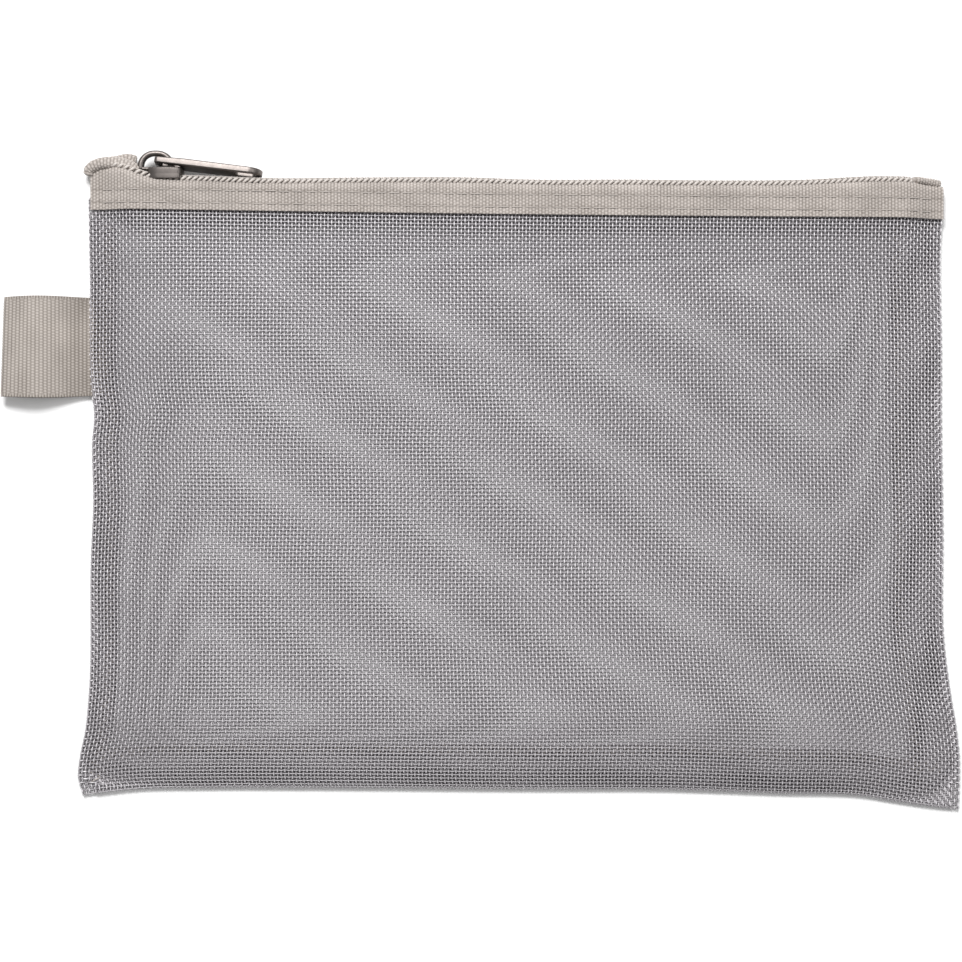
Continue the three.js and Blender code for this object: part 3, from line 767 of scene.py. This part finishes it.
def coil_stitches(name, node, side):
    """The thread that holds a coil to its tape: it humps over every turn."""
    x = np.linspace(COIL_LEFT + 1 * MM, COIL_RIGHT - 0.5 * MM, 1500)
    maker = Maker()
    for ply in range(2):
        hump = np.cos(math.tau * (x - COIL_LEFT) / COIL_PITCH + ply * math.pi)
        wide = coil_half(x)
        z = zip_middle(x) + side * (wide * 1.35 + ply * 0.32 * MM)
        y = chain_line(x) + (COIL_RISE + 0.08 * MM) + 0.1 * MM * hump
        points = np.stack([x, y, z], axis=-1)[None]
        tubes(maker, points, facing(points, 1), 0.13 * MM, sides=6)
    fitted(maker.piece(name, THREAD), "pouch", node)


for face, side in (("front", 1), ("back", -1)):
    coil(f"{face}_coil_spiral", f"{face}_coil", side)
    coil_filler(f"{face}_coil_filler", f"{face}_coil_cord", side)
    coil_stitches(f"{face}_coil_sewing", f"{face}_coil_stitch", side)


# ---------------------------------------------------------------- zip ends

def folded_tape(name, node, points, half_wide, half_thick, across):
    """A short folded bit of tape: a flat, ribbed roll along a few points, wide along the way across."""
    places, sides = 170, 48
    centre = line_3d(*zip(*points), places)
    half_wide = np.linspace(*half_wide, places)
    turn = np.arange(sides) * math.tau / sides
    along = unit(np.gradient(centre, axis=0))
    thick = unit(np.cross(along, across))
    wide = unit(np.cross(thick, along))
    run = np.concatenate([[0], np.cumsum(np.linalg.norm(np.diff(centre, axis=0), axis=1))])
    end = np.sqrt(np.clip(1 - np.abs(np.linspace(-1, 1, places)) ** 12, 0.05, 1))[:, None]
    rib = np.abs(np.cos(np.pi * run / TAPE_RIB))[:, None] ** 0.8
    dot = 0.5 + 0.5 * np.cos(turn * 10 + np.pi * np.floor(run / TAPE_RIB + 0.5)[:, None])
    weave = rib * (0.45 + 0.55 * dot)
    lump = 1 + 0.12 * wave(run[:, None], turn[None, :] * MM, 21, 0.004)
    grow = 0.2 * MM * weave * end
    c = np.sign(np.cos(turn)) * np.abs(np.cos(turn)) ** 0.75
    d = np.sign(np.sin(turn)) * np.abs(np.sin(turn)) ** 0.75
    out_wide = (half_wide[:, None] * end * lump + grow) * c
    out_thick = (half_thick * end * lump + grow) * d
    ring = centre[:, None] + out_wide[..., None] * wide[:, None] + out_thick[..., None] * thick[:, None]
    maker = Maker()
    index = np.arange(places * sides).reshape(places, sides)
    after = np.roll(index, -1, axis=1)
    quads = np.stack([index[:-1], after[:-1], after[1:], index[1:]], axis=-1).reshape(-1, 4)
    # The weave's valleys get painted shade from these relief values.
    maker.add(ring, [quads], [index[:1, ::-1], index[-1:]], relief=weave)
    fitted(maker.piece(name, TAPE_CLOTH), "pouch", node)


def line_3d(xs, ys, zs, places):
    """A smooth line through a few points, evenly stepped in their own order."""
    at = np.linspace(0, 1, len(xs))
    t = np.linspace(0, 1, places)
    return np.stack([through(list(zip(at, values)))(t) for values in (xs, ys, zs)], axis=-1)


def from_corner(points):
    """Points in mm, away from the left end of the tapes' ridge, in the frame."""
    return [(TAPE_LOW[0] + x * MM, RIDGE + y * MM, z * MM) for x, y, z in points]


# The front tape's end is gathered into a roll that curls round the corner.
# The back tape's flap stands behind it.
FRONT_ROLL = [(12.8, 2.9, 4.9), (9.0, 4.6, 4.6), (5.2, 5.1, 4.2), (2.2, 4.8, 3.6), (0.1, 3.7, 2.9),
              (-0.5, 2.0, 2.5)]
BACK_FLAP = [(3.2, 4.9, 1.5), (6.6, 5.6, 1.7), (9.2, 5.9, 2.0), (11.4, 5.3, 2.3)]
folded_tape("front_left_fold", "front_left_tape_end", from_corner(FRONT_ROLL),
            (1.2 * MM, 1.7 * MM), 1.35 * MM, (0, 0.3, 1))
folded_tape("back_left_fold", "back_left_tape_end", from_corner(BACK_FLAP),
            (1.5 * MM, 1.8 * MM), 0.65 * MM, (0.25, 1, 0))


def right_end():
    """The zip's far end, folded flat over the chain."""
    start, end = COIL_RIGHT + 0.1 * MM, TAPE_HIGH[0] - 0.4 * MM
    xs = np.linspace(start, end, 4)
    thick = 0.85 * MM
    points = [(x, float(ridge(x)) + thick, float(zip_middle(x))) for x in xs]
    half = (float(zip_depth(start)) - 0.5 * MM, float(zip_depth(end)) - 0.4 * MM)
    folded_tape("right_fold", "right_tape_end", points, half, thick, (0, 0, 1))


right_end()


# ---------------------------------------------------------------- slider, bail and pull tab

SLIDER_LOW, SLIDER_HIGH = (np.array(c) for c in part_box("slider_body"))
BAIL_LOW, BAIL_HIGH = (np.array(c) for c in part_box("slider_bail"))
SWING = next(j for j in frame["joints"] if j["name"] == "pull_tab_swing")
EYE = np.array(SWING["pos_m"])


def prism(maker, outline, low, high):
    """A closed solid: an outline in the XZ plane between two heights along Y."""
    outline = np.asarray(outline, float)
    count = len(outline)
    rings = []
    for y in (low, high):
        rings.append(np.stack([outline[:, 0], np.full(count, y), outline[:, 1]], axis=-1))
    i = np.arange(count)
    j = np.roll(i, -1)
    walls = np.stack([i, i + count, j + count, j], axis=-1)
    maker.add(np.concatenate(rings), [walls, i[None, :], (i + count)[None, ::-1]])


def outward(piece):
    """Joins what touches, and turns every closed island of a piece so that its faces point out."""
    work = bmesh.new()
    work.from_mesh(piece.data)
    bmesh.ops.remove_doubles(work, verts=work.verts, dist=0.002 * MM)
    bmesh.ops.recalc_face_normals(work, faces=work.faces)
    work.to_mesh(piece.data)
    work.free()


def bevelled(piece, width, segments=3, angle=0.45):
    rounding = piece.modifiers.new("edges", "BEVEL")
    rounding.width = width
    rounding.segments = segments
    rounding.limit_method = "ANGLE"
    rounding.angle_limit = angle
    even_normals(piece)


def even_normals(piece):
    """Keeps flat faces flat between their rounded edges."""
    shading = piece.modifiers.new("shading", "WEIGHTED_NORMAL")
    shading.keep_sharp = True


def slider_outline(half, inset=0.0):
    """The slider's plate seen from above the zip: a shield with a long facet down to its nose."""
    nose, tail = SLIDER_LOW[0] + inset, SLIDER_HIGH[0] - inset
    half = half - inset
    right = [(nose, -0.55 * half), (nose + 0.4 * MM, -0.72 * half), (nose + 2.7 * MM, -half),
             (tail - 1.0 * MM, -half), (tail - 0.4 * MM, -0.9 * half), (tail, -0.72 * half)]
    left = [(x, -z) for x, z in reversed(right)]
    return [(x, ZIP_MIDDLE + z) for x, z in right + left]


def slider():
    """The slider's body: a crowned top plate, two side flanges, a lower plate and the post between them."""
    half = (SLIDER_HIGH[2] - SLIDER_LOW[2]) / 2
    nose, tail, low = SLIDER_LOW[0], SLIDER_HIGH[0], SLIDER_LOW[1]
    top = SLIDER_HIGH[1] + 0.55 * MM
    chain_top = COIL_HIGH[1] + 0.7 * MM
    maker = Maker()
    prism(maker, slider_outline(half), chain_top, top)
    prism(maker, slider_outline(half * 0.72, 0.6 * MM), top - 0.2 * MM, top + 0.35 * MM)
    for turn in (-1, 1):
        flange = [(nose + 0.4 * MM, 0.72), (nose + 2.7 * MM, 1.0), (tail - 1.0 * MM, 1.0),
                  (tail - 0.5 * MM, 0.92), (tail - 0.5 * MM, 0.76), (tail - 1.0 * MM, 0.82),
                  (nose + 2.9 * MM, 0.82), (nose + 0.9 * MM, 0.5)]
        outline = [(x, ZIP_MIDDLE + turn * z * half) for x, z in flange]
        prism(maker, outline, low + 3.6 * MM, chain_top + 0.4 * MM)
    prism(maker, slider_outline(half - 0.9 * MM), low, low + 1.1 * MM)
    post_x = nose + 2.9 * MM
    post = [(post_x - 1 * MM, ZIP_MIDDLE), (post_x, ZIP_MIDDLE - 0.22 * MM),
            (post_x + 1.1 * MM, ZIP_MIDDLE), (post_x, ZIP_MIDDLE + 0.22 * MM)]
    prism(maker, post, low + 0.9 * MM, chain_top + 0.3 * MM)
    piece = maker.piece("slider_metal_body", METAL)
    outward(piece)
    bevelled(piece, 0.3 * MM)
    fitted(piece, "slider", "slider_body")


def rounded_band(maker, path, half_wide, half_thick, normal, corners=12, square=0.55):
    """A bar of rounded-square section along a path in the XY plane, with its width along Z."""
    places = len(path)
    turn = np.arange(corners) * math.tau / corners
    c = np.sign(np.cos(turn)) * np.abs(np.cos(turn)) ** square
    d = np.sign(np.sin(turn)) * np.abs(np.sin(turn)) ** square
    z_way = np.array([0.0, 0.0, 1.0])
    ring = (path[:, None, :] + (half_thick[:, None] * c)[..., None] * normal[:, None, :]
            + (half_wide[:, None] * d)[..., None] * z_way)
    index = np.arange(places * corners).reshape(places, corners)
    after = np.roll(index, -1, axis=1)
    quads = np.stack([index[:-1], after[:-1], after[1:], index[1:]], axis=-1).reshape(-1, 4)
    maker.add(ring, [quads], [index[:1, ::-1], index[-1:]])


def bail():
    """The D-shaped loop over the slider that carries the pull tab: an arch and the bar under it."""
    foot = BAIL_LOW[1] + 0.25 * MM
    centre = (BAIL_LOW[0] + BAIL_HIGH[0]) / 2
    band = 0.72 * MM
    reach_x = (BAIL_HIGH[0] - BAIL_LOW[0]) / 2 - band
    reach_y = BAIL_HIGH[1] - foot - band
    turn = np.linspace(-0.03, math.pi + 0.03, 70)
    square = np.abs(np.cos(turn)) ** 0.85 * np.sign(np.cos(turn))
    high = np.abs(np.sin(turn)) ** 0.9 * np.sign(np.sin(turn))
    path = np.stack([centre + reach_x * square, foot + reach_y * high, np.full(70, EYE[2])], axis=-1)
    along = unit(np.gradient(path, axis=0))
    normal = np.stack([along[:, 1], -along[:, 0], 0 * turn], axis=-1)
    leg = np.abs(np.cos(turn)) ** 4
    maker = Maker()
    rounded_band(maker, path, 1.25 * MM + 0.2 * MM * leg, band * (1 + 0.12 * leg), normal)
    bar = np.linspace(BAIL_LOW[0] + 0.25 * MM, BAIL_HIGH[0] - 0.3 * MM, 24)
    sag = 0.25 * MM * (bar - bar[0]) / (bar[-1] - bar[0])
    base = np.stack([bar, foot - sag, np.full(24, EYE[2])], axis=-1)
    upright = np.tile([0.0, 1.0, 0.0], (24, 1))
    rounded_band(maker, base, np.full(24, 1.35 * MM), np.full(24, 0.48 * MM), upright)
    piece = maker.piece("bail_arch", METAL)
    outward(piece)
    fitted(piece, "slider", "slider_bail")


TAB_SLOPE = math.radians(-7)
TAB_TILT = math.radians(-7)
# The tab's own lengths in mm. A hole is its start and end away from the eye, and its half width.
TAB_LENGTH = 26.4
TAB_HALF = 3.4
TAB_NECK = 2.85
TAB_WINDOW = (0.65, 5.8, 1.6)
TAB_SLOT = (19.2, 24.6, 1.95)
TAB_EDGE = 0.42


def tab_point(along, wide, lift):
    """From the tab's own lengths to the frame: it slopes down to its tip and leans on its long edge."""
    sloped = along * math.sin(TAB_SLOPE) + lift * math.cos(TAB_SLOPE)
    x = EYE[0] + (along * math.cos(TAB_SLOPE) - lift * math.sin(TAB_SLOPE)) * MM
    y = EYE[1] + (sloped * math.cos(TAB_TILT) - wide * math.sin(TAB_TILT)) * MM
    z = EYE[2] + (sloped * math.sin(TAB_TILT) + wide * math.cos(TAB_TILT)) * MM
    return np.stack([x, y, z], axis=-1)


def arc(centre, radius, start, end, steps=10):
    turn = np.radians(np.linspace(start, end, steps))
    return [(centre[0] + radius * math.cos(t), centre[1] + radius * math.sin(t)) for t in turn]


def rounded_window(start, end, half, radius):
    """A hole with four round corners, as a loop of points."""
    corners = [((end - radius, half - radius), 0), ((start + radius, half - radius), 90),
               ((start + radius, radius - half), 180), ((end - radius, radius - half), 270)]
    return [point for centre, turn in corners for point in arc(centre, radius, turn, turn + 90, 7)]


def cut_plate(loops, half, rounding):
    """A flat plate in mm from an outline and its holes, with round edges, as a mesh."""
    curve = bpy.data.curves.new("tab_outline", "CURVE")
    curve.dimensions = "2D"
    curve.fill_mode = "BOTH"
    curve.extrude = half - rounding
    curve.bevel_depth = rounding
    curve.bevel_resolution = 3
    curve.offset = -rounding
    for loop in loops:
        spline = curve.splines.new("POLY")
        spline.points.add(len(loop) - 1)
        spline.points.foreach_set("co", [value for x, y in loop for value in (x, y, 0, 1)])
        spline.use_cyclic_u = True
    holder = bpy.data.objects.new("tab_outline", curve)
    bpy.context.scene.collection.objects.link(holder)
    bpy.context.view_layer.update()
    mesh = bpy.data.meshes.new_from_object(holder.evaluated_get(bpy.context.evaluated_depsgraph_get()))
    bpy.data.objects.remove(holder)
    bpy.data.curves.remove(curve)
    return mesh


def pull_tab():
    """A long plate with a window for the bail, a slot by its round tip, and round edges."""
    tip = TAB_LENGTH - TAB_HALF
    outline = (arc((tip, 0), TAB_HALF, -90, 90, 28) + [(TAB_WINDOW[1] + 1, TAB_HALF)]
               + arc((0.25, TAB_NECK - 0.9), 0.9, 90, 180, 7)
               + arc((0.25, 0.9 - TAB_NECK), 0.9, 180, 270, 7)
               + [(TAB_WINDOW[1] + 1, -TAB_HALF)])
    holes = [rounded_window(*TAB_WINDOW, 0.5), rounded_window(*TAB_SLOT, 1.0)]
    mesh = cut_plate([outline, *holes], 1.0, TAB_EDGE)
    place = np.empty(len(mesh.vertices) * 3)
    mesh.vertices.foreach_get("co", place)
    along, wide, lift = place.reshape(-1, 3).T
    thick = mix(0.78, 0.92, smooth(along, 0, 6)) * mix(1.0, 0.88, smooth(along, 8, TAB_LENGTH))
    mesh.vertices.foreach_set("co", tab_point(along, wide, lift * thick).ravel())
    mesh.materials.clear()
    mesh.materials.append(METAL)
    mesh.name = "pull_tab_plate"
    piece = bpy.data.objects.new("pull_tab_plate", mesh)
    bpy.context.scene.collection.objects.link(piece)
    outward(piece)
    mesh.polygons.foreach_set("use_smooth", np.ones(len(mesh.polygons), bool))
    even_normals(piece)
    fitted(piece, "tab", "pull_tab")


slider()
bail()
pull_tab()


# ---------------------------------------------------------------- ribbon loop

LOOP_LOW, LOOP_HIGH = (np.array(c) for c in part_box("hang_loop"))
FLEX = next(j for j in frame["joints"] if j["name"] == "hang_loop_flex")
LOOP_RIB = 1.0 * MM
LOOP_DOT = 0.72 * MM
LOOP_HALF_THICK = 0.33 * MM


def loop_line(count):
    """The ribbon's middle line out of the seam and back: X, Z and the length run, evenly stepped."""
    turn = np.linspace(0, math.tau, count)
    away = (1 - np.cos(turn)) / 2
    seam_x = FLEX["pos_m"][0] + 4.5 * MM
    x = seam_x - away ** 0.8 * (seam_x - LOOP_LOW[0] - 0.4 * MM)
    swell = np.sin(turn) * smooth(away, 0.05, 0.75)
    half = (LOOP_HIGH[2] - LOOP_LOW[2]) / 2 - 0.55 * MM
    base = mix(1.0 * MM, LOOP_LOW[2] + half + 0.55 * MM, smooth(away, 0.1, 0.7))
    z = base + swell * half + 0.3 * MM * np.sin(turn) * (1 - away)
    fine = np.concatenate([[0], np.cumsum(np.hypot(np.diff(x), np.diff(z)))])
    even = np.linspace(0, fine[-1], count)
    return np.interp(even, fine, x), np.interp(even, fine, z), even


def hang_loop():
    """The folded ribbon, with beaded selvages, that loops out of the side seam and back."""
    columns, rows = 350, 134
    x, z, run = loop_line(columns)
    away = unit(np.stack([np.gradient(z), -np.gradient(x)], axis=-1))
    t = np.linspace(0, 1, rows)
    share = np.clip((x - LOOP_LOW[0]) / (LOOP_HIGH[0] - LOOP_LOW[0]), 0, 1)
    bow = 0.35 * MM * np.sin(np.pi * share)
    low = LOOP_LOW[1] - bow - 0.15 * MM * (1 - share)
    high = LOOP_HIGH[1] + bow
    slant = 0.9 * MM * (1 - np.clip(share * 2, 0, 1))
    y = mix(low[:, None], high[:, None], t[None, :])
    x_all = x[:, None] + slant[:, None] * (t[None, :] - 0.35)
    rib = np.abs(np.cos(np.pi * run / LOOP_RIB))[:, None] ** 0.7
    dot = 0.5 + 0.5 * np.cos(math.tau * y / LOOP_DOT + np.pi * np.floor(run / LOOP_RIB + 0.5)[:, None])
    from_edge = np.minimum(t, 1 - t) * (LOOP_HIGH[1] - LOOP_LOW[1])
    selvage = np.exp(-from_edge / (0.5 * MM))[None, :]
    bead = 0.5 + 0.5 * np.cos(math.tau * run / LOOP_DOT)[:, None]
    weave = mix(rib * (0.35 + 0.65 * dot), bead, np.clip(selvage * 1.6, 0, 1))
    relief = 0.2 * MM * weave - 0.06 * MM
    seam_shade = smooth(share, 0.62, 0.9)[:, None]
    uneven = wave(run[:, None] * 2, y, 31, 0.012)
    # Painted shade, with random tone on top: darker in the weave's valleys, along both selvages and towards
    # the seam.
    shade_and_tone = np.clip(weave - 0.30 * selvage - 0.22 * seam_shade + 0.1 * uneven, 0, 1)
    layers = []
    for face in (1, -1):
        lift = face * (LOOP_HALF_THICK + relief)
        layers.append(np.stack([x_all + lift * away[:, :1], y, z[:, None] + lift * away[:, 1:]], axis=-1))
    maker = Maker()
    slab(maker, *layers, shade_and_tone)
    piece = maker.piece("ribbon_loop", LOOP_CLOTH)
    outward(piece)
    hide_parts("hang_loop")
    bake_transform(piece)


hang_loop()


# ---------------------------------------------------------------- floor, light and camera

FLOOR_HALF = 3.0
FLOOR_DROP = 0.02 * MM


def plain_floor():
    """A pale floor under the pouch, a little bright by itself so that shadows stay faint."""
    maker = Maker()
    around = ((-1, -1), (1, -1), (1, 1), (-1, 1))
    corners = [(x * FLOOR_HALF, y * FLOOR_HALF, -FLOOR_DROP) for x, y in around]
    maker.add(corners, [np.arange(4)[None, :]])
    made, tree, shader = material("pale_floor", FLOOR_COLOUR, 0.9)
    varied(tree, shader, FLOOR_COLOUR, 0.005, 2)
    shader.inputs["Emission Color"].default_value = (1, 1, 1, 1)
    shader.inputs["Emission Strength"].default_value = 0.06
    maker.piece("floor", made)


def soft_box(name, place, size, power):
    """A square lamp that looks at the origin."""
    light = bpy.data.lights.new(name, "AREA")
    light.size = size
    light.energy = power
    lamp = bpy.data.objects.new(name, light)
    bpy.context.scene.collection.objects.link(lamp)
    lamp.location = place
    lamp.rotation_euler = Vector(place).to_track_quat("Z", "Y").to_euler()


def studio():
    """White surroundings and three soft lamps, the strongest up beyond the zip."""
    world = bpy.data.worlds.new("studio")
    world.use_nodes = True
    world.node_tree.nodes["Background"].inputs["Color"].default_value = (1, 1, 1, 1)
    world.node_tree.nodes["Background"].inputs["Strength"].default_value = 0.3
    bpy.context.scene.world = world
    soft_box("key_light", (-0.2, 0.7, 1.0), 0.4, 15)
    soft_box("fill_light", (0.7, 0.35, 1.0), 0.6, 3.2)
    soft_box("front_light", (0.0, -0.8, 1.1), 0.9, 0.3)


VIEW_CENTRE = (-9.0 * MM, 3.5 * MM)
VIEW_WIDTH = 240.5 * MM
CAMERA_HEIGHT = 0.70
SENSOR = 36


def camera():
    """Looks straight down from the photo's place, and frames the view's width at the zip's height."""
    lens = bpy.data.cameras.new("photo_camera")
    lens.sensor_width = SENSOR
    lens.lens = SENSOR * (CAMERA_HEIGHT - ZIP_MIDDLE) / VIEW_WIDTH
    lens.clip_start = 0.01
    lens.clip_end = 20
    eye = bpy.data.objects.new("photo_camera", lens)
    bpy.context.scene.collection.objects.link(eye)
    eye.location = (*VIEW_CENTRE, CAMERA_HEIGHT)
    bpy.context.scene.camera = eye


plain_floor()
studio()
camera()
bpy.context.scene.view_settings.view_transform = "Standard"
